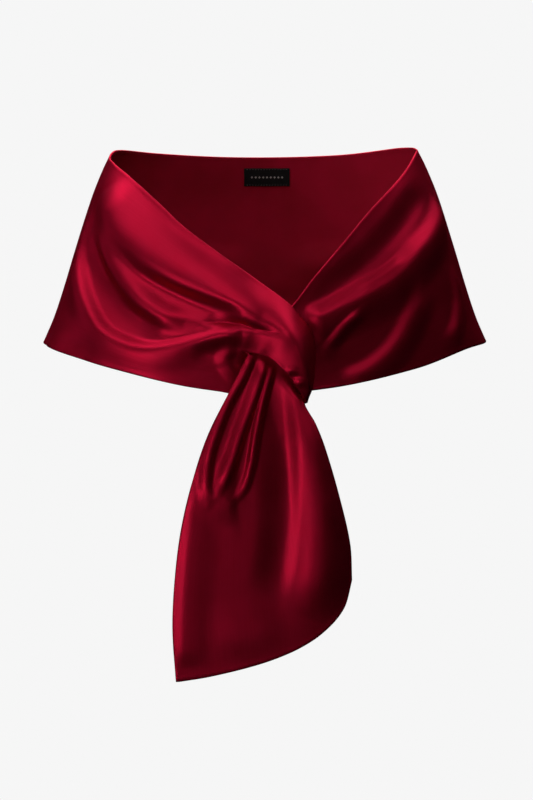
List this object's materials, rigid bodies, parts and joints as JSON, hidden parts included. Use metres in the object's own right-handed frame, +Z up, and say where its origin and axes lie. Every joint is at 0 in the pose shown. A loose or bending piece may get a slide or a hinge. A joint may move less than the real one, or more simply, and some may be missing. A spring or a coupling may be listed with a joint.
{
  "type": "evening stole",
  "caption": "Satin evening stole worn off the shoulders, with one end gathered through a slit in the other front and hanging as a pointed tail.",
  "frame": {"origin": "midway between the two places where the stole rests on the wearer's shoulders, level with its highest edge at the sides", "axes": "+Z up; the wearer faces -Y, so the slit and the tail are on the -Y side; +X to the right of somebody who looks at the front"},
  "size_m": [0.4726, 0.2709, 0.56],
  "materials": {
    "satin": "deep red satin, soft sheen",
    "label": "black woven tape, matt"
  },
  "bodies": {
    "root": {"back": "satin", "front_left": "satin", "slit_band": "satin", "front_right": "satin", "tail": "satin", "label": "label"}
  },
  "joints": []
}
